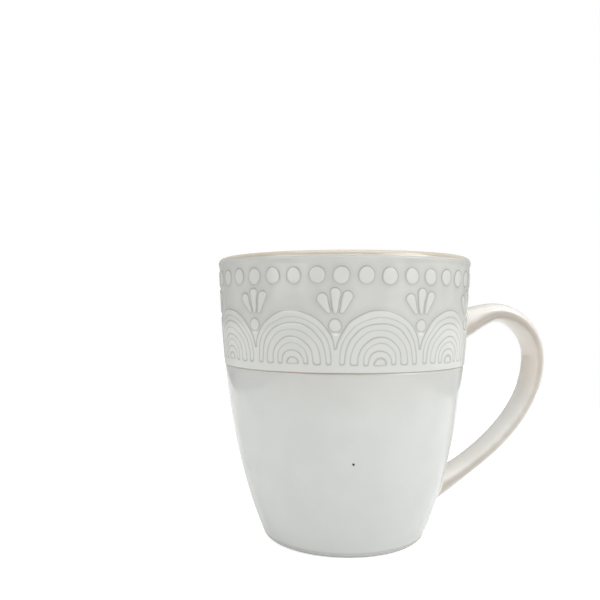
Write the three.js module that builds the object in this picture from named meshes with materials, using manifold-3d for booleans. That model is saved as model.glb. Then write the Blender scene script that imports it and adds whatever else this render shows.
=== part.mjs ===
// A stoneware mug: a glazed cup with a raised belt under the lip, and a strap handle stuck on with slip.
// Millimetres, +Z up. The cup stands on its foot ring and the handle points along +X.
import * as THREE from 'three';
import { mergeVertices } from 'three/addons/utils/BufferGeometryUtils.js';
import Module from 'manifold-3d';

const wasm = await Module();
wasm.setup();

// Cup
const HEIGHT = 102; // foot to the top of the lip
const RIM_RADIUS = 47; // outside of the belt where it meets the lip
const RIM_TAPER = 0.05; // how fast the radius shrinks with depth at the lip
const FOOT_RADIUS = 30; // outside of the wall just above the foot's round edge
const FOOT_TAPER = 0.42; // how fast the radius shrinks with depth at the foot
const FOOT_ROUND = 1.5; // radius of the foot's round outer edge
const FOOT_RING = 4.5; // width of the flat ring that the cup stands on
const FOOT_RECESS = 2; // depth of the hollow inside the foot ring
const WALL = 4; // glazed face to glazed face, below the belt
const FLOOR = 5; // top of the recess to the lining's face
const CORNER_RISE = 13; // height of the curve that joins the inside wall to the floor

// Glaze and belt
const GLAZE = 0.4; // thickness of each glaze coat
const BELT_RISE = 0.2; // how far the belt stands proud of the plain wall
const LEDGE_HEIGHT = 63.3; // lower edge of the belt

// Handle
const STRAP_THICKNESS = 7.2; // glazed, from the finger side to the outside, as far as the crown
const STRAP_TAIL = 5.7; // the same from the outermost point on
const STRAP_WIDTH = 13.6; // glazed, measured across the strap
const STRAP_SQUARENESS = 2.2; // exponent of the section: 2 is an ellipse, more is squarer
const UPPER_ROOT_HEIGHT = 76; // where the strap's middle meets the wall
const UPPER_ROOT_ANGLE = 8.5; // degrees that the strap rises as it leaves the wall
const UPPER_FLARE = 2.4; // extra half thickness of the strap at its upper root
const LOWER_ROOT_HEIGHT = 15.3;
const LOWER_ROOT_ANGLE = 25;
const LOWER_FLARE = 1.3;
const ROOT_SPREAD = 1.2; // extra half width of the strap at both roots
const FLARE_LENGTH = 20; // length of strap over which each root thins out
const ROOT_DEPTH = 6; // how far the strap's middle line runs on inside the wall
const ROOT_PULL = 6; // reach of the curve's tangents between the upper root and the crown
const CROWN_OUT = 13.8; // top of the strap's middle line, measured outwards from the rim
const CROWN_RISE = 6.1; // top of the middle line above the upper root
const BOW_OUT = 30.1; // outermost point of the middle line, measured outwards from the rim
const BOW_HEIGHT = 64.6;
const BOW_PULL = 26.8; // reach of the curve's tangent below the outermost point
const TAIL_PULL = 16.8; // reach of the curve's tangent at the lower root
const ROUND_PULL = 0.53; // tangent share that makes a quarter of the curve nearly an ellipse

// Slip joints
const SLIP_THICKNESS = 1; // clay wall to the end of the strap
const SLIP_SPREAD = 0.8; // how far the slip is squeezed out round the strap
const CLEARANCE = 0.3; // gap between pieces that are cut to fit each other

// Fineness of the facets
const TURN_STEPS = 64;
const WALL_STEPS = 8;
const BELT_STEPS = 3;
const ARC_STEPS = 4;
const STRAP_STEPS = 28;
const STRAP_SIDES = 16;
const WELD = 1e-4; // points closer than this are one point

// Levels and radii worked out from the sizes above
const lipRadius = (WALL + BELT_RISE) / 2;
const lipHeight = HEIGHT - lipRadius;
const floorHeight = FOOT_RECESS + FLOOR;
const wallTopRadius = RIM_RADIUS - BELT_RISE;
const handleReach = RIM_RADIUS + BOW_OUT + STRAP_TAIL / 2;

// Outside of the plain glazed wall from lip to foot. Its heights are evenly spaced, so height is linear in t.
const wallDrop = lipHeight - FOOT_ROUND;
const wallCurve = new THREE.CubicBezierCurve(
  new THREE.Vector2(wallTopRadius, lipHeight),
  new THREE.Vector2(wallTopRadius - RIM_TAPER * wallDrop / 3, lipHeight - wallDrop / 3),
  new THREE.Vector2(FOOT_RADIUS + FOOT_TAPER * wallDrop / 3, FOOT_ROUND + wallDrop / 3),
  new THREE.Vector2(FOOT_RADIUS, FOOT_ROUND),
);

function wallRadius(height) {
  return wallCurve.getPoint((lipHeight - height) / wallDrop).x;
}

function levels(from, to, steps) {
  return Array.from({ length: steps + 1 }, (_, step) => THREE.MathUtils.lerp(from, to, step / steps));
}

const wallLevels = levels(FOOT_ROUND, LEDGE_HEIGHT, WALL_STEPS);
const beltLevels = levels(LEDGE_HEIGHT, lipHeight, BELT_STEPS);

// A line up the wall at the given levels, moved outwards by the given amount.
function wallLine(heights, outwards) {
  return heights.map((height) => new THREE.Vector2(wallRadius(height) + outwards, height));
}

function arcLine(centreX, centreY, radius, fromDegrees, toDegrees, steps) {
  const from = THREE.MathUtils.degToRad(fromDegrees);
  const to = THREE.MathUtils.degToRad(toDegrees);
  return new THREE.EllipseCurve(centreX, centreY, radius, radius, from, to, to < from).getPoints(steps);
}

// The inside of the cup from lip to axis, lying the given depth behind the face of the lining.
function insideLine(depth) {
  const cornerTop = floorHeight + CORNER_RISE;
  const topRadius = wallRadius(cornerTop) - WALL;
  const slope = (wallRadius(cornerTop) - wallRadius(floorHeight)) / CORNER_RISE;
  const turnRadius = topRadius - slope * CORNER_RISE;
  const flatRadius = turnRadius - CORNER_RISE;
  const corner = new THREE.QuadraticBezierCurve(
    new THREE.Vector2(topRadius + depth, cornerTop),
    new THREE.Vector2(turnRadius + depth, floorHeight - depth),
    new THREE.Vector2(flatRadius, floorHeight - depth),
  );
  const wall = wallLine(levels(lipHeight, cornerTop, WALL_STEPS), depth - WALL);
  const middle = new THREE.Vector2(0, floorHeight - depth);
  return [...wall, ...corner.getPoints(ARC_STEPS).slice(1), middle];
}

// Turns an outline of radius and height about the Z axis.
function turned(outline) {
  const geometry = new THREE.LatheGeometry(outline, TURN_STEPS);
  return geometry.rotateX(Math.PI / 2);
}

function closed(outline) {
  return turned([...outline, outline[0]]);
}

function solid(geometry) {
  const bare = geometry.clone();
  bare.deleteAttribute('normal');
  bare.deleteAttribute('uv');
  const merged = mergeVertices(bare, WELD);
  const mesh = new wasm.Mesh({
    numProp: 3,
    vertProperties: new Float32Array(merged.attributes.position.array),
    triVerts: new Uint32Array(merged.index.array),
  });
  mesh.merge();
  return new wasm.Manifold(mesh);
}

function geometryOf(manifold) {
  const mesh = manifold.getMesh();
  const geometry = new THREE.BufferGeometry();
  geometry.setAttribute('position', new THREE.BufferAttribute(mesh.vertProperties, 3));
  geometry.setIndex(new THREE.BufferAttribute(mesh.triVerts, 1));
  geometry.computeVertexNormals();
  return geometry;
}

// Everything inside the clay wall, grown outwards by the given amount, from the foot's round edge to the lip.
function insideOfWall(grow) {
  const heights = levels(FOOT_ROUND, lipHeight, WALL_STEPS + BELT_STEPS);
  const wall = wallLine(heights, grow - GLAZE);
  const bottom = new THREE.Vector2(0, FOOT_ROUND);
  const top = new THREE.Vector2(0, lipHeight);
  return solid(turned([bottom, ...wall, top]));
}

// The strap's middle line, in the plane of radius and height: out of the wall, over the crown, round the
// outermost point and back down into the wall.
function strapPath() {
  const upperAngle = THREE.MathUtils.degToRad(UPPER_ROOT_ANGLE);
  const lowerAngle = THREE.MathUtils.degToRad(LOWER_ROOT_ANGLE);
  const upperWay = new THREE.Vector2(Math.cos(upperAngle), Math.sin(upperAngle));
  const lowerWay = new THREE.Vector2(Math.cos(lowerAngle), Math.sin(lowerAngle));
  const upperRoot = new THREE.Vector2(wallRadius(UPPER_ROOT_HEIGHT), UPPER_ROOT_HEIGHT);
  const lowerRoot = new THREE.Vector2(wallRadius(LOWER_ROOT_HEIGHT), LOWER_ROOT_HEIGHT);
  const start = upperRoot.addScaledVector(upperWay, -ROOT_DEPTH);
  const end = lowerRoot.addScaledVector(lowerWay, -ROOT_DEPTH);
  const crown = new THREE.Vector2(RIM_RADIUS + CROWN_OUT, UPPER_ROOT_HEIGHT + CROWN_RISE);
  const bow = new THREE.Vector2(RIM_RADIUS + BOW_OUT, BOW_HEIGHT);
  const path = new THREE.CurvePath();
  path.add(new THREE.CubicBezierCurve(
    start,
    start.clone().addScaledVector(upperWay, ROOT_PULL),
    new THREE.Vector2(crown.x - ROOT_PULL, crown.y),
    crown,
  ));
  path.add(new THREE.CubicBezierCurve(
    crown,
    new THREE.Vector2(THREE.MathUtils.lerp(crown.x, bow.x, ROUND_PULL), crown.y),
    new THREE.Vector2(bow.x, THREE.MathUtils.lerp(bow.y, crown.y, ROUND_PULL)),
    bow,
  ));
  path.add(new THREE.CubicBezierCurve(
    bow,
    new THREE.Vector2(bow.x, bow.y - BOW_PULL),
    end.clone().addScaledVector(lowerWay, TAIL_PULL),
    end,
  ));
  return path;
}

// One point of the strap's rounded section: x along its thickness and y across its width, from -1 to 1.
function sectionPoint(side) {
  const angle = 2 * Math.PI * side / STRAP_SIDES;
  const power = 2 / STRAP_SQUARENESS;
  const rounded = (value) => Math.sign(value) * Math.abs(value) ** power;
  return new THREE.Vector2(rounded(Math.cos(angle)), rounded(Math.sin(angle)));
}

// The strap swept along its path, with its skin moved outwards by the given amount.
function strap(grow) {
  const path = strapPath();
  const lengths = path.getCurveLengths();
  const length = lengths.at(-1);
  const [crownAt, bowAt] = lengths;
  const section = Array.from({ length: STRAP_SIDES }, (_, side) => sectionPoint(side));
  const positions = [];
  const indices = [];
  for (let step = 0; step <= STRAP_STEPS; step += 1) {
    const along = step / STRAP_STEPS;
    const middle = path.getPoint(along);
    const way = path.getTangent(along);
    const fromStart = along * length;
    const fromEnd = length - fromStart;
    const upperRoot = 1 - THREE.MathUtils.smoothstep(fromStart, ROOT_DEPTH / 2, ROOT_DEPTH / 2 + FLARE_LENGTH);
    const lowerRoot = 1 - THREE.MathUtils.smoothstep(fromEnd, ROOT_DEPTH / 2, ROOT_DEPTH / 2 + FLARE_LENGTH);
    const tail = THREE.MathUtils.smoothstep(fromStart, crownAt, bowAt);
    const thickness = THREE.MathUtils.lerp(STRAP_THICKNESS, STRAP_TAIL, tail);
    const halfThickness = thickness / 2 + UPPER_FLARE * upperRoot + LOWER_FLARE * lowerRoot + grow;
    const halfWidth = STRAP_WIDTH / 2 + ROOT_SPREAD * (upperRoot + lowerRoot) + grow;
    for (const corner of section) {
      const out = corner.x * halfThickness;
      positions.push(middle.x - way.y * out, corner.y * halfWidth, middle.y + way.x * out);
    }
  }
  const vertex = (step, side) => step * STRAP_SIDES + side % STRAP_SIDES;
  for (let side = 0; side < STRAP_SIDES; side += 1) {
    for (let step = 0; step < STRAP_STEPS; step += 1) {
      indices.push(vertex(step, side), vertex(step + 1, side + 1), vertex(step, side + 1));
      indices.push(vertex(step, side), vertex(step + 1, side), vertex(step + 1, side + 1));
    }
  }
  for (let side = 1; side < STRAP_SIDES - 1; side += 1) {
    indices.push(vertex(0, 0), vertex(0, side), vertex(0, side + 1));
    indices.push(vertex(STRAP_STEPS, 0), vertex(STRAP_STEPS, side + 1), vertex(STRAP_STEPS, side));
  }
  const geometry = new THREE.BufferGeometry();
  geometry.setAttribute('position', new THREE.Float32BufferAttribute(positions, 3));
  geometry.setIndex(indices);
  return solid(geometry);
}

// The clay of the cup: recess, foot ring, wall, full round lip, inside and floor.
function cupBodyGeometry() {
  const footInside = FOOT_RADIUS - FOOT_ROUND - FOOT_RING;
  return turned([
    new THREE.Vector2(0, FOOT_RECESS),
    new THREE.Vector2(footInside, FOOT_RECESS),
    new THREE.Vector2(footInside, 0),
    ...arcLine(FOOT_RADIUS - FOOT_ROUND, FOOT_ROUND, FOOT_ROUND, -90, 0, ARC_STEPS),
    ...wallLine(wallLevels, -GLAZE),
    ...wallLine(beltLevels, -GLAZE).slice(1),
    ...arcLine(RIM_RADIUS - lipRadius, lipHeight, lipRadius, 0, 180, 2 * ARC_STEPS),
    ...insideLine(GLAZE),
  ]);
}

function innerGlazeGeometry() {
  return turned([...insideLine(GLAZE).reverse(), ...insideLine(0)]);
}

// A coat round the wall between the given levels, from the clay to the given height above the plain wall.
function coat(heights, rise) {
  return closed([...wallLine(heights, rise), ...wallLine(heights, -GLAZE).reverse()]);
}

// Half of space above or below the level midway between the roots, as a box large enough for either root.
function halfBox(above) {
  const size = 2 * (handleReach + HEIGHT);
  const midway = (UPPER_ROOT_HEIGHT + LOWER_ROOT_HEIGHT) / 2;
  const middle = above ? midway + size / 2 : midway - size / 2;
  return solid(new THREE.BoxGeometry(size, size, size).translate(0, 0, middle));
}

const slipShell = insideOfWall(SLIP_THICKNESS).subtract(insideOfWall(CLEARANCE));
const slip = strap(SLIP_SPREAD).intersect(slipShell);
const slipRoom = strap(SLIP_SPREAD + CLEARANCE);
const strapSeat = insideOfWall(SLIP_THICKNESS + CLEARANCE);
const core = strap(-GLAZE);

const geometries = {
  cup_body: cupBodyGeometry(),
  inner_glaze: innerGlazeGeometry(),
  wall_glaze: geometryOf(solid(coat(wallLevels, 0)).subtract(slipRoom)),
  relief_belt: geometryOf(solid(coat(beltLevels, BELT_RISE)).subtract(slipRoom)),
  upper_slip_joint: geometryOf(slip.intersect(halfBox(true))),
  lower_slip_joint: geometryOf(slip.intersect(halfBox(false))),
  handle: geometryOf(core.subtract(strapSeat)),
  handle_glaze: geometryOf(strap(0).subtract(core).subtract(strapSeat)),
};

const clay = new THREE.MeshStandardMaterial({ color: 0xc9ae90, roughness: 0.75, metalness: 0 });
const slipClay = new THREE.MeshStandardMaterial({ color: 0xd2bda2, roughness: 0.7, metalness: 0 });
const paleGlaze = new THREE.MeshStandardMaterial({ color: 0xdfe0dc, roughness: 0.18, metalness: 0 });
const liningGlaze = new THREE.MeshStandardMaterial({ color: 0xe4e0d8, roughness: 0.18, metalness: 0 });
const materials = {
  cup_body: clay,
  handle: clay,
  upper_slip_joint: slipClay,
  lower_slip_joint: slipClay,
  inner_glaze: liningGlaze,
};

// The cup's axis lies off the origin, so that the middle of cup and handle together stands on it.
const mug = new THREE.Group();
mug.position.x = (RIM_RADIUS - handleReach) / 2;
for (const [name, geometry] of Object.entries(geometries)) {
  const mesh = new THREE.Mesh(geometry, materials[name] ?? paleGlaze);
  mesh.name = name;
  mug.add(mesh);
}

const model = new THREE.Group();
model.add(mug);

export default model;
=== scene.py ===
# Looks of a stoneware mug: a glazed cup with a carved belt under the lip, and a strap handle that is
# stuck on with slip. Shapes are worked out in millimetres and put into their meshes in metres.
import math

import bpy
import numpy as np
from mathutils import Matrix, Vector


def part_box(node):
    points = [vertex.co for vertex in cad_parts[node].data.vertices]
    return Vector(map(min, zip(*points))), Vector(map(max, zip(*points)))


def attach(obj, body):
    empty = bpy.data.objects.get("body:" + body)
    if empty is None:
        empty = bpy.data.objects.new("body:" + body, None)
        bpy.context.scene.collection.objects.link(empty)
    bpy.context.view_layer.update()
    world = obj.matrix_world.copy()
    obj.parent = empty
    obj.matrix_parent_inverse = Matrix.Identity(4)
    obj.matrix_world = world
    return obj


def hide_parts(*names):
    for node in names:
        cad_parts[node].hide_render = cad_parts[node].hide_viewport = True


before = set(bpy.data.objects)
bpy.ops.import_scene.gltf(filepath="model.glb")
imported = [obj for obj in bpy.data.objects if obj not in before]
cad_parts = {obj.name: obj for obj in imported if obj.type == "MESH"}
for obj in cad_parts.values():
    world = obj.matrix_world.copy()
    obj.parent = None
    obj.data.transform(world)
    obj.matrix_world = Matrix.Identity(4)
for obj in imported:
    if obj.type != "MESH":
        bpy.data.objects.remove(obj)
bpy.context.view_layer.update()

MM = 0.001  # one millimetre in metres


def node_box(name):
    """A CAD node's lowest and highest corners in millimetres."""
    low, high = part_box(name)
    return np.array(low) / MM, np.array(high) / MM


cup_low, cup_high = node_box("cup_body")
belt_low, belt_high = node_box("relief_belt")
coat_low, _ = node_box("wall_glaze")
lining_low, _ = node_box("inner_glaze")

# Cup, from the frame
AXIS_X = (cup_low[0] + cup_high[0]) / 2
HEIGHT = cup_high[2]
RIM_RADIUS = (cup_high[1] - cup_low[1]) / 2
LIP_BASE = belt_high[2]
LIP_RADIUS = HEIGHT - LIP_BASE
LEDGE = belt_low[2]
FOOT_LINE = coat_low[2]

# Cup, the rest of the construction's sizes
BELT_RISE = 0.2  # belt's highest parts above the plain wall
GLAZE = 0.4  # thickness of a glaze coat
RIM_TAPER = 0.05  # how fast the radius shrinks with depth at the lip
FOOT_RADIUS = 30.0  # of the wall at the foot line
FOOT_TAPER = 0.42  # how fast the radius shrinks with depth there
FOOT_RING = 4.5  # width of the ring that the cup stands on
FOOT_RECESS = 2.0  # how far the underside's middle lies above that ring
CORNER_RISE = 13.0  # height of the curve between inside wall and floor
WALL = 2 * LIP_RADIUS - BELT_RISE
FLOOR_LEVEL = lining_low[2] + GLAZE
WALL_TOP_RADIUS = RIM_RADIUS - BELT_RISE
WALL_DROP = LIP_BASE - FOOT_LINE

# Strap, the construction's sizes
STRAP_THICKNESS = 7.2  # as far as the crown
STRAP_TAIL = 5.7  # thickness from the outermost point on
STRAP_WIDTH = 13.6
STRAP_SQUARENESS = 2.2  # exponent of the section: 2 is an ellipse
UPPER_ROOT_HEIGHT = 76.0
UPPER_ROOT_ANGLE = math.radians(8.5)  # upwards out of the wall
UPPER_FLARE = 2.4  # how much the half thickness swells at the root
LOWER_ROOT_HEIGHT = 15.3
LOWER_ROOT_ANGLE = math.radians(25)
LOWER_FLARE = 1.3
ROOT_SPREAD = 1.2  # how much the half width swells at both roots
FLARE_LENGTH = 20.0  # how far along the strap it swells
ROOT_DEPTH = 6.0  # how far the middle line runs on below the wall's face
ROOT_PULL = 6.0  # reach of the control points between upper root and crown
CROWN_OUT = 13.8  # from the lip's radius to the middle line's highest point
CROWN_RISE = 6.1  # from the upper root up to that point
BOW_OUT = 30.1  # from the lip's radius to the middle line's outermost point
BOW_HEIGHT = 64.6
BOW_PULL = 26.8  # reach of the control point below the outermost point
TAIL_PULL = 16.8  # reach of the control point at the lower root
ROUND_PULL = 0.53  # reach of the control points from crown to bow, as a share of the way
FILLET_RADIUS = 1.6  # hollow curve of the slip between strap and wall
SEAT_DEPTH = 1.2  # how far the strap's ends run on below the wall's face

# Strap, where its glaze is thin and where it carries painted light
BEND_LENGTH = 14.0  # how far along the strap a bend changes its glaze
EDGE_SHIFT = 0.2  # angle round the section by which the crown's thin line lies on the finger side
ROOT_SHIFT = 0.3  # the same at the upper root
EDGE_POWER = 10  # the higher, the narrower the thin line
EDGE_THIN = 0.9  # how thin the glaze is on the long edges
CROWN_THIN = 0.3  # what the crown adds there
PAINTED_LIGHT_PAST = 24.0  # how far past the outermost point the painted light is strongest
PAINTED_LIGHT_LENGTH = 32.0  # how far along the strap that reaches
PAINTED_LIGHT_ON_EDGES = 0.18  # how much the painted light takes away from the tan on the edges
FINGER_SIDE = (0.2, 0.95)  # cosines, off the inner side's middle, where the finger side's painted light begins and is full

# Ornament of the belt, in millimetres on the wall and in turns from the front towards the handle
LEDGE_ROUND = 0.2  # radius of the ledge's edge
CARVING_DEPTH = 0.27  # from the belt's highest parts down to its plain ground
GROOVE_LEVEL = 0.6  # how high the arches' grooves lie above the ground, as a share of that depth
EDGE_SOFTNESS = 0.35  # half width of the slope from ground to raised parts
LIP_BLEND = 1.9  # height over which the ground swells out to the lip
ARCH_COUNT = 10
ARCH_TURN = math.radians(2.2)
ARCH_REFERENCE = 45.0  # radius at which widths of arches and sprigs are measured
ARCH_STRIP_TOP = 65.8  # top of the plain strip that the arches stand on
ARCH_RIDGES = (  # radius and height of the inner edge's middle, then of the outer edge's
    (2.3, 0.3, 3.7, 0.85),
    (5.4, 1.65, 6.95, 1.75),
    (9.5, 1.75, 11.05, 2.1),
    (12.85, 2.35, 13.9, 3.3),
)
DOME_SIZE = (1.8, 0.3)  # of the dome under the smallest arch: radius, and height of its middle
DOME_GAP = 0.25  # between the dome and the strip below it
VALLEY_HEIGHT = 70.8  # bottom of the valleys between arches
VALLEY_HALF = 1.2  # half their width
CORNER_SOFTNESS = 0.9  # rounding where ridges and valleys meet the strip
SPRIG_TURN = ARCH_TURN - math.pi / ARCH_COUNT  # between two arches
PETALS = (  # sideways and height of the tip, its radius, then the same of the lobe
    (0.0, 82.4, 0.55, 0.0, 88.5, 1.6),
    (-2.0, 82.6, 0.65, -4.15, 86.75, 1.65),
    (2.0, 82.7, 0.65, 3.85, 87.6, 1.6),
)
BUD_HEIGHT = 78.26
BUD_SIZE = (1.9, 1.9)  # half width and half height
NECK_HEIGHT = 75.6  # middle of the raised spot below each bud, which carries a painted highlight
NECK_SIZE = (0.9, 0.5)
WEDGE_TOP = 76.2  # below this the ground between two arches is raised
WEDGE_LEVEL = 0.5  # how high it lies, as a share of the carving's depth
FINE_POOL = (0.58, 0.22)  # how dark glaze pools round dots and petals, and what upper sides add
ARCH_POOL = (0.5, 0.14)  # the same along arches and buds
DOT_COUNT = 38
DOT_TURN = math.radians(-13.3)
DOT_HEIGHT = 94.0
DOT_SIZE = (2.5, 2.65)  # half width and half height
DOT_UNEVEN = 0.035  # how much their widths differ, as a share
CARVING_DRIFT = (  # sideways and upwards, waves round the cup, radians per millimetre of height, phase
    (0.00, -0.30, 1, 0.00, 0.85),
    (0.10, 0.08, 7, 0.50, 1.0),
    (0.07, 0.09, 19, -0.90, 2.2),
    (0.02, 0.02, 41, 1.30, 0.4),
)
SWAY = 2.6  # how far the motifs are moved away from the handle at most
SWAY_TURN = math.radians(-98)  # where that is
SWAY_SPREAD = math.radians(32)

# Places on belt, wall and lip, in the glaze and for its painted highlights and shade
FRONT_TURN = math.radians(-9)  # where the lip is most tan and painted highlights are least, and again opposite
LEDGE_SHADE_HEIGHT = 19.0  # how far below the ledge the wall carries painted shade
LEDGE_SHADE_SHARE = 0.3  # how dark that painted shade is right under the ledge
SPECK_TURN = math.radians(-8.0)
SPECK_HEIGHT = 33.95

# Fineness of the meshes
BELT_COLUMNS = 840
BELT_ROWS = 102
TURN_COLUMNS = 256
WALL_ROWS = 64
ARC_ROWS = 14
STRAP_ROWS = 260
STRAP_COLUMNS = 72
HALVINGS = 40  # steps of the search for where the strap meets the wall

# Camera, fitted to the photograph's outlines
CAMERA_TURN = math.radians(-9)  # round the cup's axis, from the front
CAMERA_PLACE = (-16.4, -249.0, 83.66)  # before that turn, from the foot's middle
CAMERA_PITCH = math.radians(90.733)
CAMERA_ROLL = math.radians(0.08)
FOCAL_LENGTH = 654.3  # in pixels
IMAGE_SIDE = 600
SENSOR_WIDTH = 36.0


def ease(value, low, high):
    """Smooth step: 0 up to low, 1 from high on, and 3t^2 - 2t^3 between."""
    t = np.clip((value - low) / (high - low), 0, 1)
    return t * t * (3 - 2 * t)


def bell(value, middle, width):
    """Bell curve: 1 at the middle, and e to the minus square of the distance in widths."""
    return np.exp(-(((value - middle) / width) ** 2))


def bezier(points, t):
    """Cubic Bezier of four points, by its Bernstein weights."""
    weights = np.stack([(1 - t) ** 3, 3 * (1 - t) ** 2 * t, 3 * (1 - t) * t**2, t**3], axis=-1)
    return weights @ np.asarray(points, float)


def wall_radius(height):
    """Radius of the plain wall: a cubic Bezier between lip and foot whose height falls evenly."""
    pull = WALL_DROP / 3
    radii = (
        WALL_TOP_RADIUS,
        WALL_TOP_RADIUS - RIM_TAPER * pull,
        FOOT_RADIUS + FOOT_TAPER * pull,
        FOOT_RADIUS,
    )
    return bezier(radii, (LIP_BASE - np.asarray(height, float)) / WALL_DROP)


def place(radius, turn, height):
    """Points at a radius and height, turned about the cup's axis from the front towards the handle."""
    radius, turn, height = np.broadcast_arrays(radius, turn, height)
    return np.stack([AXIS_X + radius * np.sin(turn), -radius * np.cos(turn), height], axis=-1)


def arc(centre, radius, start, end, count):
    """Points of a circular arc of radius and height, at even angles."""
    angle = np.radians(np.linspace(start, end, count))
    return np.stack([centre[0] + radius * np.cos(angle), centre[1] + radius * np.sin(angle)], axis=-1)


def turns(count):
    """Even turns round the cup."""
    return np.arange(count) * (2 * np.pi / count)


# Meshes


def build(name, grid, poles=None, flat_rows=()):
    """A closed piece over a grid of points whose rows close on themselves. Without poles the rows close
    into a ring; with two poles, fans of triangles close the first and last row. Faces of the flat rows
    aren't smooth."""
    rows, columns = grid.shape[:2]
    bands = rows if poles is None else rows - 1
    row = np.arange(bands)[:, None]
    above = (row + 1) % rows
    column = np.arange(columns)[None, :]
    beside = (column + 1) % columns
    low = row * columns
    high = above * columns
    corners = (low + column, low + beside, high + beside, high + column)
    faces = np.stack(corners, axis=-1).reshape(-1, 4).tolist()
    smooth = np.ones((bands, columns), bool)
    smooth[list(flat_rows)] = False
    smooth = smooth.ravel()
    points = grid.reshape(-1, 3)
    if poles is not None:
        ring = np.arange(columns)
        after = (ring + 1) % columns
        first = np.full(columns, rows * columns)
        last_row = (rows - 1) * columns
        faces += np.stack([first, after, ring], axis=-1).tolist()
        faces += np.stack([first + 1, last_row + ring, last_row + after], axis=-1).tolist()
        smooth = np.concatenate([smooth, np.ones(2 * columns, bool)])
        points = np.vstack([points, poles])
    mesh = bpy.data.meshes.new(name)
    mesh.from_pydata((points * MM).tolist(), [], faces)
    mesh.polygons.foreach_set("use_smooth", smooth)
    mesh.update()
    piece = bpy.data.objects.new(name, mesh)
    bpy.context.scene.collection.objects.link(piece)
    return piece


def note(piece, name, values):
    """Keeps a number for each grid point with the mesh; poles take the last one."""
    values = np.ravel(values)
    spare = len(piece.data.vertices) - values.size
    attribute = piece.data.attributes.new(name, "FLOAT", "POINT")
    attribute.data.foreach_set("value", np.pad(values, (0, spare), mode="edge").astype(np.float32))


def settle(piece, material, slot, *nodes):
    """Gives a piece its finish, lets it ride on the mug and stand for its CAD nodes."""
    piece.data.materials.append(material)
    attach(piece, "root")
    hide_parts(*nodes)


# Cup


def inside_line(depth):
    """Inside of the cup from lip to floor, a depth behind the lining's face: the wall's curve, then a
    quadratic curve that leaves the wall along its slope and ends level on the floor."""
    corner_top = FLOOR_LEVEL + CORNER_RISE
    heights = np.linspace(LIP_BASE, corner_top, WALL_ROWS)
    wall = np.stack([wall_radius(heights) - WALL + depth, heights], axis=-1)
    turn_radius = wall_radius(FLOOR_LEVEL) - WALL
    start = wall[-1]
    middle = np.array([turn_radius + depth, FLOOR_LEVEL - depth])
    end = np.array([turn_radius - CORNER_RISE, FLOOR_LEVEL - depth])
    t = np.linspace(0, 1, ARC_ROWS)[1:, None]
    corner = (1 - t) ** 2 * start + 2 * (1 - t) * t * middle + t**2 * end
    return np.vstack([wall, corner])


def turned(profile):
    """A profile of radius and height turned about the cup's axis."""
    return place(profile[:, :1], turns(TURN_COLUMNS)[None, :], profile[:, 1:])


def make_cup_clay(material):
    """Recess, foot ring, clay wall, full round lip and clay inside, turned from the recess to the floor.
    The foot's round edge is the arc that leaves the standing surface level and meets the wall along its
    slope."""
    lean = math.atan(FOOT_TAPER)
    foot_round = FOOT_LINE / (1 - math.sin(lean))
    foot_centre = FOOT_RADIUS - foot_round * math.cos(lean)
    ring_inside = FOOT_RADIUS - FOOT_LINE - FOOT_RING
    heights = np.linspace(FOOT_LINE, LIP_BASE, WALL_ROWS)
    wall = np.stack([wall_radius(heights) - GLAZE, heights], axis=-1)
    underside = np.array([[ring_inside, FOOT_RECESS], [ring_inside, 0.0]])
    foot = arc((foot_centre, foot_round), foot_round, -90, -math.degrees(lean), ARC_ROWS)
    lip = arc((RIM_RADIUS - LIP_RADIUS, LIP_BASE), LIP_RADIUS, 0, 180, 2 * ARC_ROWS)
    profile = np.vstack([underside, foot, wall, lip, inside_line(GLAZE)])
    wall_start = len(underside) + len(foot)
    lip_start = wall_start + len(wall)
    lip_end = lip_start + len(lip)
    hard_rows = (0, 1, wall_start - 1, lip_start - 1, lip_end - 1)
    poles = [[AXIS_X, 0, FOOT_RECESS], [AXIS_X, 0, FLOOR_LEVEL - GLAZE]]
    piece = build("cup_clay", turned(profile), poles, hard_rows)
    bare = np.zeros(len(profile))
    bare[: len(underside) + 1] = 1
    note(piece, "bare", np.repeat(bare, TURN_COLUMNS))
    settle(piece, material, "clay", "cup_body")


def make_lining(material):
    """The glaze inside: its face from lip to floor, and its back against the clay."""
    face = inside_line(0)
    back = inside_line(GLAZE)[::-1]
    profile = np.vstack([back, face])
    poles = [[AXIS_X, 0, FLOOR_LEVEL - GLAZE], [AXIS_X, 0, FLOOR_LEVEL]]
    piece = build("lining", turned(profile), poles, (len(back) - 1,))
    settle(piece, material, "lining", "inner_glaze")


def make_wall_coat(material):
    """The glaze on the plain wall: its face from foot to ledge, and its back against the clay."""
    heights = np.linspace(FOOT_LINE, LEDGE, WALL_ROWS)
    face = np.stack([wall_radius(heights), heights], axis=-1)
    back = face[::-1] - (GLAZE, 0)
    hard_rows = (WALL_ROWS - 1, 2 * WALL_ROWS - 1)
    piece = build("wall_coat", turned(np.vstack([face, back])), None, hard_rows)
    settle(piece, material, "glaze", "wall_glaze")


# Carved belt


def nearest(turn, first, count):
    """Turn from the nearest of evenly spaced places round the cup, and that place's number."""
    pitch = 2 * np.pi / count
    number = np.round((turn - first) / pitch)
    return turn - first - number * pitch, number


def soft_union(first, second):
    """The larger of two depths, rounded where they are nearly alike, as an inside corner is."""
    near = np.clip(0.5 + 0.5 * (first - second) / CORNER_SOFTNESS, 0, 1)
    return second + (first - second) * near + CORNER_SOFTNESS * near * (1 - near)


def oval_depth(across, up, size):
    """Depth inside an oval, about in millimetres: one less the scaled distance from its middle."""
    return (1 - np.hypot(across / size[0], up / size[1])) * min(size)


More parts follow.
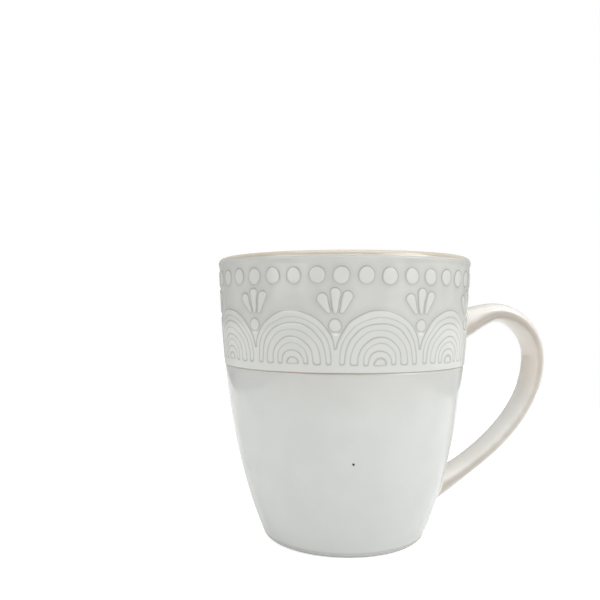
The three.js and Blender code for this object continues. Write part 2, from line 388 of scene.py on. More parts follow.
def petal_depth(across, height, petal):
    """Depth inside a petal: a radius that grows evenly from tip to lobe, less the distance from the line
    between them."""
    tip_across, tip_height, tip_radius, lobe_across, lobe_height, lobe_radius = petal
    way_across = lobe_across - tip_across
    way_up = lobe_height - tip_height
    off_across = across - tip_across
    off_up = height - tip_height
    along = (off_across * way_across + off_up * way_up) / (way_across**2 + way_up**2)
    along = np.clip(along, 0, 1)
    radius = tip_radius + (lobe_radius - tip_radius) * along
    return radius - np.hypot(off_across - along * way_across, off_up - along * way_up)


def arch_depth(across, up, radius, rise):
    """Depth inside a round arch: its radius less the distance from a line that goes straight up to the
    arch's middle."""
    return radius - np.hypot(across, np.maximum(up - rise, 0))


def ridge_depth(across, up, ridge):
    """Depth inside a ridge that lies between an inner and an outer arch."""
    inner_radius, inner_rise, outer_radius, outer_rise = ridge
    outer = arch_depth(across, up, outer_radius, outer_rise)
    return np.minimum(outer, -arch_depth(across, up, inner_radius, inner_rise))


def drifted(turn, height):
    """Turn and height with the small drifts of hand carving: a bell curve on one side of the cup, and sums
    of sines that close round it."""
    aside, _ = nearest(turn, SWAY_TURN, 1)
    sideways = SWAY * bell(aside, 0, SWAY_SPREAD) + np.zeros_like(height)
    upwards = np.zeros_like(sideways)
    for along, rise, waves, climb, phase in CARVING_DRIFT:
        sideways += along * np.sin(waves * turn + climb * height + phase)
        upwards += rise * np.cos(waves * turn - climb * height + 2 * phase)
    return turn + sideways / ARCH_REFERENCE, height + upwards


def motif_depths(turn, height):
    """Depths inside the arches and buds, inside the dots and petals, inside the spot below each bud,
    inside the carving's larger forms and inside the valley wedges. Each is a signed distance in
    millimetres, positive inside, and a union of parts is the largest of their depths."""
    turn, height = drifted(turn, height)
    arch_off, _ = nearest(turn, ARCH_TURN, ARCH_COUNT)
    across = arch_off * ARCH_REFERENCE
    up = height - ARCH_STRIP_TOP
    sprig_off, _ = nearest(turn, SPRIG_TURN, ARCH_COUNT)
    sprig_across = sprig_off * ARCH_REFERENCE
    ridges = np.max([ridge_depth(across, up, ridge) for ridge in ARCH_RIDGES], axis=0)
    valley = np.minimum(VALLEY_HEIGHT - height, VALLEY_HALF - np.abs(sprig_across))
    dome = np.minimum(arch_depth(across, up, *DOME_SIZE), up - DOME_GAP)
    bud = oval_depth(sprig_across, height - BUD_HEIGHT, BUD_SIZE)
    arches = np.max([soft_union(np.maximum(ridges, valley), -up), dome, bud], axis=0)
    petals = np.max([petal_depth(sprig_across, height, petal) for petal in PETALS], axis=0)
    dot_off, dot = nearest(turn, DOT_TURN, DOT_COUNT)
    swell = 1 + DOT_UNEVEN * np.sin(dot * dot)
    dots = oval_depth(dot_off * RIM_RADIUS * swell, height - DOT_HEIGHT, DOT_SIZE)
    fine = np.maximum(petals, dots)
    neck = oval_depth(sprig_across, height - NECK_HEIGHT, NECK_SIZE)
    inside = arch_depth(across, up, *ARCH_RIDGES[-1][2:])
    forms = np.max([inside, -up, valley, bud, fine], axis=0)
    wedges = np.minimum(-inside, WEDGE_TOP - height)
    return arches, fine, neck, forms, wedges


def smooth_edge(depth):
    """0 outside a form and 1 inside it, with a smooth slope where its depth passes zero."""
    return ease(depth, -EDGE_SOFTNESS, EDGE_SOFTNESS)


def pooled_glaze(turn, height, arches, fine):
    """How dark glaze pools at the motifs' edges: a level for each kind of motif, and more where the edge
    faces up, which is the fall of the motifs' depth with height."""
    step = EDGE_SOFTNESS / 2
    upper = np.max(motif_depths(turn, height + step)[:2], axis=0)
    lower = np.max(motif_depths(turn, height - step)[:2], axis=0)
    facing_up = np.clip((lower - upper) / (2 * step), -1, 1)
    is_fine = fine > arches
    level = np.where(is_fine, FINE_POOL[0], ARCH_POOL[0])
    more = np.where(is_fine, FINE_POOL[1], ARCH_POOL[1])
    return level + more * facing_up


def make_belt(material):
    """The belt's face is the plain wall's radius plus the belt's rise, less the carving's depth where
    nothing lifts the ground. It starts with the ledge's round edge and ends flush with the lip."""
    edge = arc((-LEDGE_ROUND, LEDGE + LEDGE_ROUND), LEDGE_ROUND, -90, 0, ARC_ROWS // 2)
    heights = np.linspace(LEDGE + LEDGE_ROUND, LIP_BASE, BELT_ROWS)
    back_heights = np.array([LIP_BASE, LEDGE])
    height = np.concatenate([edge[:, 1], heights[1:], back_heights])[:, None]
    drawn_in = np.concatenate([edge[:, 0], np.zeros(len(heights) - 1 + len(back_heights))])[:, None]
    turn = turns(BELT_COLUMNS)[None, :]
    arches, fine, neck, forms, wedges = motif_depths(turn, height)
    raised = np.maximum(arches, fine)
    lift = smooth_edge(np.maximum(raised, neck))
    lift = np.maximum(lift, GROOVE_LEVEL * smooth_edge(forms))
    lift = np.maximum(lift, WEDGE_LEVEL * smooth_edge(wedges))
    lift = np.maximum(lift, ease(height, LIP_BASE - LIP_BLEND, LIP_BASE))
    radius = wall_radius(height) + BELT_RISE - CARVING_DEPTH * (1 - lift) + drawn_in
    radius[-len(back_heights) :] = wall_radius(back_heights)[:, None] - GLAZE
    rows = len(height)
    hard_rows = range(rows - len(back_heights) - 1, rows)
    piece = build("belt_relief", place(radius, turn, height), None, hard_rows)
    note(piece, "raised", raised)
    note(piece, "forms", np.maximum(forms, wedges - EDGE_SOFTNESS))
    note(piece, "pooling", pooled_glaze(turn, height, arches, fine))
    note(piece, "neck", neck)
    settle(piece, material, "glaze", "relief_belt")


# Handle


def strap_line():
    """The strap's middle line as distances along, points of radius and height, and directions: out of
    the wall, over the crown, round the outermost point and back into the wall, on three cubic curves.
    Also the distances along of the crown and of the outermost point."""
    upper_way = np.array([math.cos(UPPER_ROOT_ANGLE), math.sin(UPPER_ROOT_ANGLE)])
    lower_way = np.array([math.cos(LOWER_ROOT_ANGLE), math.sin(LOWER_ROOT_ANGLE)])
    start = np.array([wall_radius(UPPER_ROOT_HEIGHT), UPPER_ROOT_HEIGHT]) - ROOT_DEPTH * upper_way
    end = np.array([wall_radius(LOWER_ROOT_HEIGHT), LOWER_ROOT_HEIGHT]) - ROOT_DEPTH * lower_way
    crown = np.array([RIM_RADIUS + CROWN_OUT, UPPER_ROOT_HEIGHT + CROWN_RISE])
    bow = np.array([RIM_RADIUS + BOW_OUT, BOW_HEIGHT])
    over = np.array([(bow[0] - crown[0]) * ROUND_PULL, 0])
    down = np.array([0, (crown[1] - bow[1]) * ROUND_PULL])
    t = np.linspace(0, 1, 2 * STRAP_ROWS)
    rise = bezier((start, start + ROOT_PULL * upper_way, crown - (ROOT_PULL, 0), crown), t)
    turn_over = bezier((crown, crown + over, bow + down, bow), t)
    fall = bezier((bow, bow - (0, BOW_PULL), end + TAIL_PULL * lower_way, end), t)
    line = np.vstack([rise, turn_over[1:], fall[1:]])
    along = np.concatenate([[0], np.cumsum(np.hypot(*np.diff(line, axis=0).T))])
    way = np.gradient(line, along, axis=0)
    way /= np.hypot(*way.T)[:, None]
    return along, line, way, along[len(rise) - 1], along[len(rise) + len(turn_over) - 2]


LINE_ALONG, LINE, LINE_WAY, CROWN_ALONG, BOW_ALONG = strap_line()
STRAP_LENGTH = LINE_ALONG[-1]
UPPER_SPAN = (0, BOW_ALONG / 2)  # distances along, inside and outside the wall, about the upper root
LOWER_SPAN = (STRAP_LENGTH, (STRAP_LENGTH + BOW_ALONG) / 2)


def rounded(value):
    """A sine or cosine bent so that the section becomes a superellipse."""
    return np.sign(value) * np.abs(value) ** (2 / STRAP_SQUARENESS)


def strap_point(along, around):
    """A point on the strap's skin: the middle line plus the section's offsets, which are the half
    thickness times the bent cosine outwards and the half width times the bent sine across. Both swell
    smoothly at the roots."""
    along, around = np.broadcast_arrays(along, around)
    flare_start = ROOT_DEPTH / 2
    upper = 1 - ease(along, flare_start, flare_start + FLARE_LENGTH)
    lower = 1 - ease(STRAP_LENGTH - along, flare_start, flare_start + FLARE_LENGTH)
    thickness = STRAP_THICKNESS + (STRAP_TAIL - STRAP_THICKNESS) * ease(along, CROWN_ALONG, BOW_ALONG)
    out = rounded(np.cos(around)) * (thickness / 2 + UPPER_FLARE * upper + LOWER_FLARE * lower)
    across = -rounded(np.sin(around)) * (STRAP_WIDTH / 2 + ROOT_SPREAD * (upper + lower))
    radius, height = (np.interp(along, LINE_ALONG, values) for values in LINE.T)
    way_out, way_up = (np.interp(along, LINE_ALONG, values) for values in LINE_WAY.T)
    return np.stack([AXIS_X + radius - way_up * out, across, height + way_out * out], axis=-1)


def wall_place(points):
    """Stand-off from the plain wall, turn and height of points."""
    sideways = points[..., 0] - AXIS_X
    height = points[..., 2]
    stand_off = np.hypot(sideways, points[..., 1]) - wall_radius(height)
    return stand_off, np.arctan2(sideways, -points[..., 1]), height


def root_along(around, stand_off, span):
    """Distance along the strap at which its skin stands a given way off the wall, by halving a span whose
    first end lies inside the wall and whose second lies outside it."""
    shape = np.broadcast(around, stand_off).shape
    inner = np.full(shape, float(span[0]))
    outer = np.full(shape, float(span[1]))
    for _ in range(HALVINGS):
        middle = (inner + outer) / 2
        inside = wall_place(strap_point(middle, around))[0] < stand_off
        inner = np.where(inside, middle, inner)
        outer = np.where(inside, outer, middle)
    return (inner + outer) / 2


def make_strap(material):
    """The strap's skin between the two ends that lie below the wall's face. It keeps how thin the glaze
    is: most on the two long edges, by a high power of a sine that is moved to the finger side up to the
    crown, more by a bell curve about the crown, and less by painted light on one below the outermost
    point.
    It also keeps a bell curve about the outermost point, and the painted light below it where that lies on
    the finger side."""
    around = turns(STRAP_COLUMNS)[None, :]
    start = root_along(around, -SEAT_DEPTH, UPPER_SPAN)
    end = root_along(around, -SEAT_DEPTH, LOWER_SPAN)
    along = start + (end - start) * np.linspace(0, 1, STRAP_ROWS)[:, None]
    grid = strap_point(along, around)
    piece = build("handle_strap", grid, [grid[0].mean(axis=0), grid[-1].mean(axis=0)])
    crown = bell(along, CROWN_ALONG, BEND_LENGTH)
    pale = bell(along, BOW_ALONG + PAINTED_LIGHT_PAST, PAINTED_LIGHT_LENGTH)
    shift = EDGE_SHIFT * crown + ROOT_SHIFT * (1 - ease(along, ROOT_DEPTH, CROWN_ALONG))
    edge = np.abs(np.sin(around)) * np.cos(shift) - np.cos(around) * np.sin(shift)
    # below the outermost point painted light takes tan away from the edges
    level = EDGE_THIN + CROWN_THIN * crown - PAINTED_LIGHT_ON_EDGES * pale
    note(piece, "thin", np.maximum(edge, 0) ** EDGE_POWER * level)
    note(piece, "bow", bell(along, BOW_ALONG, BEND_LENGTH))
    # painted light on the finger side below the outermost point
    note(piece, "inside", ease(-np.cos(around), *FINGER_SIDE) * pale)
    settle(piece, material, "glaze", "handle", "handle_glaze")


def make_fillet(name, material, node, span, wall_rise):
    """The slip round one root: a quarter circle that leaves the strap's skin one radius off the wall and
    meets the wall one radius further out. At each stand-off the strap's outline on the wall is moved
    along its own normal."""
    around = turns(STRAP_COLUMNS)[None, :]
    angle = np.linspace(0, np.pi / 2, ARC_ROWS)
    stand_off = np.concatenate([FILLET_RADIUS * (1 - np.sin(angle)), [-GLAZE, -GLAZE, FILLET_RADIUS]])
    spread = np.concatenate([FILLET_RADIUS * (1 - np.cos(angle)), [FILLET_RADIUS, -GLAZE, -GLAZE]])
    stand_off = (stand_off + wall_rise)[:, None]
    points = strap_point(root_along(around, stand_off, span), around)
    _, turn, height = wall_place(points)
    width = wall_radius(height) * turn
    along_width = np.roll(width, -1, axis=1) - np.roll(width, 1, axis=1)
    along_height = np.roll(height, -1, axis=1) - np.roll(height, 1, axis=1)
    length = np.hypot(along_width, along_height)
    side = np.sign(span[1] - span[0])
    width = width - side * spread[:, None] * along_height / length
    height = height + side * spread[:, None] * along_width / length
    radius = wall_radius(height)
    grid = place(radius + stand_off, width / radius, height)
    rows = len(spread)
    hard_rows = np.arange(ARC_ROWS - 1, rows)
    if side > 0:
        grid = grid[::-1]
        hard_rows = rows - 2 - hard_rows  # the same bands, counted from the other end
    piece = build(name, grid, None, hard_rows)
    settle(piece, material, "slip", node)


# Finishes


class Wire:
    """A value in a node tree. Arithmetic on it adds Math nodes."""

    def __init__(self, nodes, socket):
        self.nodes = nodes
        self.socket = socket

    def math(self, operation, first, second):
        return self.nodes.node("ShaderNodeMath", {"operation": operation}, {0: first, 1: second})

    def __add__(self, other):
        return self.math("ADD", self, other)

    def __sub__(self, other):
        return self.math("SUBTRACT", self, other)

    def __rsub__(self, other):
        return self.math("SUBTRACT", other, self)

    def __mul__(self, other):
        return self.math("MULTIPLY", self, other)

    def __truediv__(self, other):
        return self.math("DIVIDE", self, other)

    def __rpow__(self, other):
        return self.math("POWER", other, self)

    def over(self, other):
        """The larger of two values."""
        return self.math("MAXIMUM", self, other)

    __radd__ = __add__
    __rmul__ = __mul__


class Nodes:
    """Fills one node tree."""

    def __init__(self, tree):
        tree.nodes.clear()
        self.tree = tree

    def node(self, kind, settings=(), sockets=(), output=0):
        """Adds a node of a kind, makes its settings, gives its sockets values or links, and returns one
        output."""
        made = self.tree.nodes.new(kind)
        for name, value in dict(settings).items():
            setattr(made, name, value)
        for name, value in dict(sockets).items():
            if isinstance(value, Wire):
                self.tree.links.new(value.socket, made.inputs[name])
            else:
                made.inputs[name].default_value = value
        return Wire(self, made.outputs[output]) if made.outputs else None

    def position(self):
        """Place on the piece, in metres."""
        return self.node("ShaderNodeTexCoord", output="Object")

    def height(self):
        """Height above the standing surface, in millimetres."""
        return self.node("ShaderNodeSeparateXYZ", (), {0: self.position()}, "Z") / MM

    def measure(self, operation, first, second):
        """A number from two vectors, such as their distance."""
        return self.node("ShaderNodeVectorMath", {"operation": operation}, {0: first, 1: second}, "Value")

    def front(self):
        """About 1 at the cup's front and back and 0 at its sides: roughly the square of the turn's
        cosine."""
        ahead = (-math.sin(FRONT_TURN), math.cos(FRONT_TURN), 0)
        depth = self.measure("DOT_PRODUCT", self.position(), ahead) / (RIM_RADIUS * MM)
        return depth * depth

    def kept(self, name):
        """A number that was kept with the mesh."""
        return self.node("ShaderNodeAttribute", {"attribute_name": name}, output="Fac")

    def cloud(self, size, detail=2.0):
        """Soft noise from about 0 to 1 with patches of a size in millimetres."""
        sockets = {"Vector": self.position(), "Scale": 1 / (size * MM), "Detail": detail}
        return self.node("ShaderNodeTexNoise", (), sockets)

    def uneven(self, value, more, size):
        """A value that soft patches of a size raise by up to as much as more."""
        return value + more * self.cloud(size)

    def step(self, value, low, high):
        """0 below low, 1 above high, and smooth between."""
        sockets = {"Value": value, "From Min": low, "From Max": high}
        return self.node("ShaderNodeMapRange", {"interpolation_type": "SMOOTHSTEP"}, sockets)

    def bell(self, value, middle, width):
        """1 at the middle, falling away on both sides as a bell curve does."""
        far = (value - middle) / width
        return math.e ** (-1.0 * far * far)

    def mix(self, share, first, second):
        """A colour between two others."""
        return self.node("ShaderNodeMix", {"data_type": "RGBA"}, {0: share, 6: first, 7: second}, 2)

    def clouded(self, clouds, first, second):
        """A colour that goes over into a second one in soft patches."""
        size, detail, low, high = clouds
        return self.mix(self.step(self.cloud(size, detail), low, high), first, second)

    def gloss(self, colour, roughness, ripple):
        """A surface of a colour and roughness, with a ripple of a patch size, a detail and a depth."""
        size, detail, depth = ripple
        bump = {"Strength": 1.0, "Distance": depth * MM, "Height": self.cloud(size, detail)}
        normal = self.node("ShaderNodeBump", (), bump)
        sockets = {"Base Color": colour, "Roughness": roughness, "Normal": normal}
        shader = self.node("ShaderNodeBsdfPrincipled", (), sockets)
        self.node("ShaderNodeOutputMaterial", (), {"Surface": shader})


def tone(red, green, blue):
    """A colour as it shows on a screen, from 0 to 255, as the linear numbers that shaders take: the
    screen's standard curve, undone."""
    shown = np.array([red, green, blue]) / 255
    linear = np.where(shown > 0.04045, ((shown + 0.055) / 1.055) ** 2.4, shown / 12.92)
    return (*linear.tolist(), 1.0)


GROUND_TONE = tone(207, 207, 203)
GROUND_SHADE = tone(201, 201, 197)
ARCH_TONE = tone(209, 210, 207)
ARCH_SIDE_HIGHLIGHT = tone(231, 232, 229)
NECK_HIGHLIGHT = tone(227, 228, 225)
DOT_TONE = tone(212, 213, 209)
OUTLINE_TONE = tone(143, 145, 139)
WALL_TONE = tone(210, 212, 210)
WALL_SHADE = tone(206, 208, 206)
LIP_TONE = tone(200, 192, 177)
LIP_SIDE_HIGHLIGHT = tone(222, 216, 203)
BREAK_TONE = tone(172, 152, 130)
CREASE_TONE = tone(184, 165, 146)
CREASE_SHADE = tone(186, 182, 174)
SPECK_TONE = tone(20, 18, 16)
LINING_TONE = tone(219, 213, 203)
LINING_SHADE = tone(211, 204, 192)
STRAP_TONE = tone(235, 232, 227)
STRAP_SHADE = tone(228, 224, 217)
STRAP_PAINTED_LIGHT = tone(251, 248, 244)
STRAP_WARM = tone(246, 237, 227)
STRAP_BREAK = tone(191, 184, 175)
CLAY_TONE = tone(200, 176, 148)
CLAY_SHADE = tone(178, 152, 124)

# Clouds: patch size in millimetres, detail, and the noise levels where the second tone begins and is full
GROUND_CLOUDS = (11.0, 2.0, 0.35, 0.7)
CREASE_CLOUDS = (16.0, 2.0, 0.4, 0.6)
WALL_CLOUDS = (13.0, 4.0, 0.3, 0.75)
LINING_CLOUDS = (15.0, 4.0, 0.3, 0.75)
STRAP_CLOUDS = (9.0, 4.0, 0.35, 0.7)

# Unevenness: least value, what patches add to it, and their size in millimetres
GLAZE_ROUGHNESS = (0.08, 0.06, 9.0)
POOL_UNEVEN = (0.7, 0.6, 3.0)
LIP_UNEVEN = (0.3, 0.5, 8.0)
LINING_UNEVEN = (0.4, 0.5, 8.0)
INSIDE_UNEVEN = (0.6, 0.7, 14.0)
BOW_UNEVEN = (0.5, 0.7, 10.0)

# Ragged edges: how far patches move an edge, and their size, in millimetres
LEDGE_RAGGED = (0.3, 2.0)
CREASE_RAGGED = (0.4, 2.0)
SPECK_RAGGED = (0.5, 0.5)
CLAY_RAGGED = (0.5, 5.0)
LINING_RAGGED = (0.6, 5.0)
STRAP_RAGGED = (0.4, 6.0)  # moves a share, not a length

# Edges: where a change begins and where it is full
FORM_EDGE = (-0.2, 0.25)  # depth inside the carving's larger forms
NECK_EDGE = (-0.3, 0.3)  # depth inside the spot below each bud, for its painted highlight
BREAK_EDGE = (LEDGE + 0.1, LEDGE + 0.5)  # height at which the ledge's tan ends
CREASE_EDGE = (LEDGE - 0.25, LEDGE + 0.25)  # height at which the line below the ledge begins
SPECK_EDGE = (0.5, 0.9)  # distance from the speck's middle
FOOT_SHADE_EDGE = (0.5, 2.8)  # height at which the painted shade on the foot's edge ends
BODY_EDGE = (HEIGHT / 3, HEIGHT / 2)  # height between the foot's tone and the lip's
LIP_EDGE = (LIP_BASE + 0.8, LIP_BASE + 1.3)  # height at which the lip's own tone begins
LIP_FRONT = (0.1, 0.7)  # share of the front at which the lip is tan; towards the sides it takes a painted highlight
BARE_EDGE = (0.2, 0.9)  # share of bare clay
STRAP_EDGE = (0.25, 1.2)  # thinness of the strap's glaze

# Lines: middle and width
POOL_LINE = (-0.1, 0.21)  # depth, along all motifs
SHADE_RING = (-0.7, 0.7)  # depth, a ring of painted shade round the larger forms
LIP_LINE = (LIP_BASE + 1.1, 0.28)  # height, along the lip's lower edge
LINING_LINE = (LIP_BASE + 0.2, 0.7)  # height, below the lip's inside

# Ripples: patch size, detail, and depth in millimetres
BELT_RIPPLE = (1.6, 2.0, 0.03)
WALL_RIPPLE = (7.0, 2.0, 0.05)
CLAY_RIPPLE = (0.9, 4.0, 0.04)
LINING_RIPPLE = (8.0, 2.0, 0.05)
STRAP_RIPPLE = (5.0, 2.0, 0.05)

# Other numbers of the finishes
SHADE_RING_SHARE = 0.1  # how dark the ring of painted shade round the larger forms is
LIP_SIDES = 0.3  # how much of the lip's tan line is left at the sides, under the painted highlight there
FOOT_SHADE_SHARE = 0.36  # how dark the painted shade on the foot's edge is
CLAY_GRAIN = (0.8, 5.0)  # patch size in millimetres, and detail
BARE_ROUGHNESS = 0.55  # what bare clay adds


def new_nodes(name):
    """A new material and the nodes to fill it with."""
    material = bpy.data.materials.new(name)
    material.use_nodes = True
    return material, Nodes(material.node_tree)


def belt_finish():
    """Grey-white glaze: thin and pale on raised parts, thicker on the ground, pooled dark along the
    carving's edges, most on their upper sides, and broken to tan on the ledge. Painted highlights lie on
    the arches at the cup's sides and on the spot below each bud, and painted shade in a ring round the
    larger forms."""
    material, nodes = new_nodes("belt_glaze")
    ground = nodes.clouded(GROUND_CLOUDS, GROUND_TONE, GROUND_SHADE)
    # painted highlight: the arches and the strip below them are paler at the cup's sides, seen from the
    # front
    arch = nodes.mix(nodes.front(), ARCH_SIDE_HIGHLIGHT, ARCH_TONE)
    pale = nodes.mix(nodes.step(nodes.height(), WEDGE_TOP, BUD_HEIGHT + BUD_SIZE[1]), arch, DOT_TONE)
    colour = nodes.mix(nodes.step(nodes.kept("forms"), *FORM_EDGE), ground, pale)
    # painted highlight on the raised spot below each bud
    colour = nodes.mix(nodes.step(nodes.kept("neck"), *NECK_EDGE), colour, NECK_HIGHLIGHT)
    # painted shade in a soft ring round the larger forms
    colour = nodes.mix(SHADE_RING_SHARE * nodes.bell(nodes.kept("forms"), *SHADE_RING), colour, OUTLINE_TONE)
    pooling = nodes.kept("pooling") * nodes.uneven(*POOL_UNEVEN)
    colour = nodes.mix(nodes.bell(nodes.kept("raised"), *POOL_LINE) * pooling, colour, OUTLINE_TONE)
    broken = 1 - nodes.step(nodes.uneven(nodes.height(), *LEDGE_RAGGED), *BREAK_EDGE)
    colour = nodes.mix(broken, colour, nodes.clouded(CREASE_CLOUDS, CREASE_TONE, CREASE_SHADE))
    nodes.gloss(colour, nodes.uneven(*GLAZE_ROUGHNESS), BELT_RIPPLE)
    return material


def wall_finish():
    """Grey-white glaze with faint clouds, painted shade under the ledge, most at front and back, a line
    there of pooled glaze and painted shade, and one iron speck."""
    material, nodes = new_nodes("wall_glaze")
    colour = nodes.clouded(WALL_CLOUDS, WALL_TONE, WALL_SHADE)
    height = nodes.height()
    # painted shade under the ledge, darkest at front and back
    ledge_shade = LEDGE_SHADE_SHARE * nodes.front() * nodes.step(height, LEDGE - LEDGE_SHADE_HEIGHT, LEDGE)
    colour = nodes.mix(ledge_shade, colour, CREASE_SHADE)
    # the line under the ledge: pooled glaze, made darker as painted shade in the crease
    pooled = nodes.step(nodes.uneven(height, *CREASE_RAGGED), *CREASE_EDGE)
    colour = nodes.mix(pooled, colour, nodes.clouded(CREASE_CLOUDS, CREASE_TONE, CREASE_SHADE))
    speck_place = place(wall_radius(SPECK_HEIGHT), SPECK_TURN, SPECK_HEIGHT) * MM
    off = nodes.measure("DISTANCE", nodes.position(), speck_place.tolist()) / MM
    speck = 1 - nodes.step(nodes.uneven(off, *SPECK_RAGGED), *SPECK_EDGE)
    colour = nodes.mix(speck, colour, SPECK_TONE)
    nodes.gloss(colour, nodes.uneven(*GLAZE_ROUGHNESS), WALL_RIPPLE)
    return material


def clay_finish():
    """The lip's thin glaze, tan along its lower edges and most so at front and back, with a painted
    highlight at the sides, glaze darkened by painted shade towards the foot's round edge, and bare clay
    under it."""
    material, nodes = new_nodes("lip_and_foot")
    height = nodes.uneven(nodes.height(), *CLAY_RAGGED)
    glazed = nodes.mix(nodes.step(height, *BODY_EDGE), WALL_TONE, GROUND_TONE)
    front = nodes.step(nodes.front(), *LIP_FRONT)
    # painted highlight: the lip is paler at the cup's sides
    lip = nodes.mix(front, LIP_SIDE_HIGHLIGHT, LIP_TONE)
    colour = nodes.mix(nodes.step(height, *LIP_EDGE), glazed, lip)
    # the tan line fades at the sides as part of that painted highlight
    thin = nodes.uneven(*LIP_UNEVEN) * (LIP_SIDES + (1 - LIP_SIDES) * front)
    colour = nodes.mix(nodes.bell(height, *LIP_LINE) * thin, colour, BREAK_TONE)
    # painted shade: the glaze darkens towards the foot's round edge, where the cup meets the floor
    colour = nodes.mix(FOOT_SHADE_SHARE * (1 - nodes.step(height, *FOOT_SHADE_EDGE)), colour, OUTLINE_TONE)
    bare = nodes.step(nodes.kept("bare"), *BARE_EDGE)
    colour = nodes.mix(bare, colour, nodes.mix(nodes.cloud(*CLAY_GRAIN), CLAY_TONE, CLAY_SHADE))
    nodes.gloss(colour, nodes.uneven(*GLAZE_ROUGHNESS) + BARE_ROUGHNESS * bare, CLAY_RIPPLE)
    return material


def lining_finish():
    """Warm white glaze, a little tan below the lip."""
    material, nodes = new_nodes("lining_glaze")
    colour = nodes.clouded(LINING_CLOUDS, LINING_TONE, LINING_SHADE)
    thin = nodes.bell(nodes.uneven(nodes.height(), *LINING_RAGGED), *LINING_LINE)
    colour = nodes.mix(thin * nodes.uneven(*LINING_UNEVEN), colour, BREAK_TONE)
    nodes.gloss(colour, nodes.uneven(*GLAZE_ROUGHNESS), LINING_RIPPLE)
    return material


def strap_finish():
    """Warm white glaze, with painted light on the finger side, that breaks to tan on the strap's long
    edges.
    """
    material, nodes = new_nodes("strap_glaze")
    colour = nodes.clouded(STRAP_CLOUDS, STRAP_TONE, STRAP_SHADE)
    # painted light: the finger side below the outermost point is paler, where the cup keeps light from it
    colour = nodes.mix(nodes.kept("inside") * nodes.uneven(*INSIDE_UNEVEN), colour, STRAP_PAINTED_LIGHT)
    colour = nodes.mix(nodes.kept("bow") * nodes.uneven(*BOW_UNEVEN), colour, STRAP_WARM)
    thin = nodes.step(nodes.uneven(nodes.kept("thin"), *STRAP_RAGGED), *STRAP_EDGE)
    colour = nodes.mix(thin, colour, STRAP_BREAK)
    nodes.gloss(colour, nodes.uneven(*GLAZE_ROUGHNESS), STRAP_RIPPLE)
    return material


# Studio

LAMPS = (  # name, place from the foot's middle before the camera's turn and size in metres, watts
    ("right_lamp", (0.7, -0.35, 0.75), 0.6, 6.9),
    ("left_lamp", (-0.7, -0.35, 0.75), 0.6, 2.1),
    ("low_left_lamp", (-0.8, -0.65, 0.3), 0.6, 1.7),
    ("low_right_lamp", (0.8, -0.65, 0.3), 0.6, 0.7),
    ("top_lamp", (0.05, 0.2, 1.05), 0.8, 2.2),
)
WORLD_STRENGTH = 0.53
BACKDROP_INNER = math.radians(32)  # off the view's axis, up to where the backdrop is seen in gloss
BACKDROP_OUTER = math.radians(36)  # and from where it is no more seen
BACKDROP_IN_GLOSS = 0.45
SURROUND_IN_GLOSS = 0.25  # what gloss shows beside the backdrop
FLOOR_HALF = 0.23  # from the cup's axis to the floor's left and right edges, in metres
FLOOR_FRONT = 1.0
FLOOR_BACK = 8.0
FLOOR_TONE = tone(225, 225, 223)
FLOOR_GLOW = 0.65
FLOOR_IN_GLOSS = 0.5  # share of its glow that the floor keeps in gloss


def round_the_cup(turn):
    """Moves a place measured from the foot's middle to its place in the frame, turned about the cup's
    axis."""
    return Matrix.Translation((AXIS_X * MM, 0, 0)) @ Matrix.Rotation(turn, 4, "Z")


def seen(nodes):
    """Two shares: 1 on rays from the camera, and 1 on rays seen in gloss or through glass."""
    camera_ray = nodes.node("ShaderNodeLightPath", output="Is Camera Ray")
    outputs = camera_ray.socket.node.outputs
    glossy = Wire(nodes, outputs["Is Glossy Ray"])
    through = Wire(nodes, outputs["Is Transmission Ray"])
    return camera_ray, glossy.over(through)


def make_world():
    """White where it is seen directly, in gloss a pale backdrop with dimmer sides, and a plain soft
    light."""
    world = bpy.data.worlds.new("studio")
    world.use_nodes = True
    bpy.context.scene.world = world
    nodes = Nodes(world.node_tree)
    direction = nodes.node("ShaderNodeTexCoord", output="Generated")
    ahead = Matrix.Rotation(CAMERA_TURN, 3, "Z") @ Vector((0, 1, 0))
    facing = nodes.measure("DOT_PRODUCT", direction, ahead)
    behind = nodes.step(facing, math.cos(BACKDROP_OUTER), math.cos(BACKDROP_INNER))
    camera_ray, mirrored = seen(nodes)
    in_gloss = SURROUND_IN_GLOSS + (BACKDROP_IN_GLOSS - SURROUND_IN_GLOSS) * behind
    unseen = 1 - camera_ray.over(mirrored)
    strength = camera_ray + mirrored * in_gloss + unseen * WORLD_STRENGTH
    light = nodes.node("ShaderNodeBackground", (), {"Color": (1, 1, 1, 1), "Strength": strength})
    nodes.node("ShaderNodeOutputWorld", (), {"Surface": light})


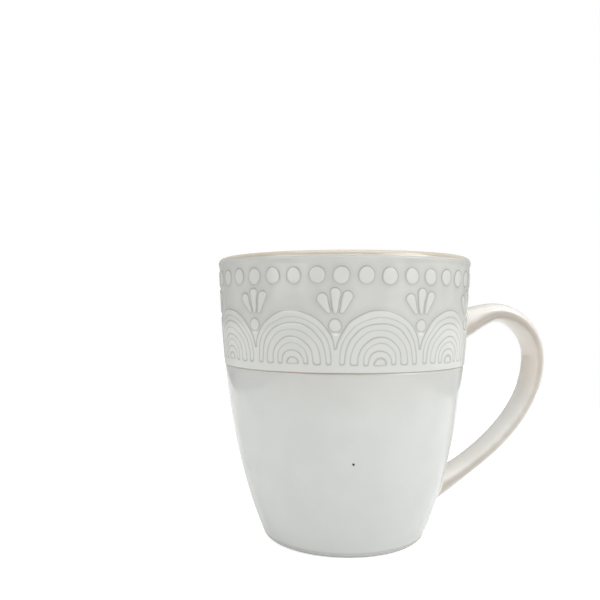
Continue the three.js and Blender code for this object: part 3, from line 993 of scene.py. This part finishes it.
def make_floor():
    """A pale floor that glows a little where it is seen, so that it is white beside the mug's shadow."""
    corners = [(side * FLOOR_HALF, -FLOOR_FRONT, 0) for side in (-1, 1)]
    corners += [(side * FLOOR_HALF, FLOOR_BACK, 0) for side in (1, -1)]
    mesh = bpy.data.meshes.new("floor")
    points = [round_the_cup(CAMERA_TURN) @ Vector(corner) for corner in corners]
    mesh.from_pydata(points, [], [range(len(points))])
    floor = bpy.data.objects.new("floor", mesh)
    bpy.context.scene.collection.objects.link(floor)
    material, nodes = new_nodes("floor")
    matt = nodes.node("ShaderNodeBsdfDiffuse", (), {"Color": FLOOR_TONE})
    camera_ray, mirrored = seen(nodes)
    strength = FLOOR_GLOW * camera_ray.over(mirrored * FLOOR_IN_GLOSS)
    glow = nodes.node("ShaderNodeEmission", (), {"Color": (1, 1, 1, 1), "Strength": strength})
    both = nodes.node("ShaderNodeAddShader", (), {0: matt, 1: glow})
    nodes.node("ShaderNodeOutputMaterial", (), {"Surface": both})
    mesh.materials.append(material)


def make_lamps():
    """Soft square lamps that look at the middle of the cup."""
    middle = Vector((AXIS_X * MM, 0, HEIGHT * MM / 2))
    for name, spot, size, power in LAMPS:
        light = bpy.data.lights.new(name, "AREA")
        light.shape = "SQUARE"
        light.size = size
        light.energy = power
        lamp = bpy.data.objects.new(name, light)
        lamp.location = round_the_cup(CAMERA_TURN) @ Vector(spot)
        lamp.rotation_euler = (middle - lamp.location).to_track_quat("-Z", "Y").to_euler()
        bpy.context.scene.collection.objects.link(lamp)


def make_camera():
    """A camera at its fitted place, turned with it about the cup's axis."""
    camera_data = bpy.data.cameras.new("camera")
    camera_data.sensor_width = SENSOR_WIDTH
    camera_data.lens = FOCAL_LENGTH / IMAGE_SIDE * SENSOR_WIDTH
    camera = bpy.data.objects.new("camera", camera_data)
    tilt = Matrix.Rotation(CAMERA_PITCH, 4, "X") @ Matrix.Rotation(CAMERA_ROLL, 4, "Z")
    stand = Matrix.Translation(Vector(CAMERA_PLACE) * MM)
    camera.matrix_world = round_the_cup(CAMERA_TURN) @ stand @ tilt
    bpy.context.scene.collection.objects.link(camera)
    bpy.context.scene.camera = camera


bpy.context.scene.view_settings.view_transform = "Standard"
make_camera()
make_world()
make_floor()
make_lamps()
make_cup_clay(clay_finish())
make_lining(lining_finish())
make_wall_coat(wall_finish())
make_belt(belt_finish())
strap_glaze = strap_finish()
make_strap(strap_glaze)
make_fillet("upper_slip", strap_glaze, "upper_slip_joint", UPPER_SPAN, BELT_RISE - CARVING_DEPTH)
make_fillet("lower_slip", strap_glaze, "lower_slip_joint", LOWER_SPAN, 0)
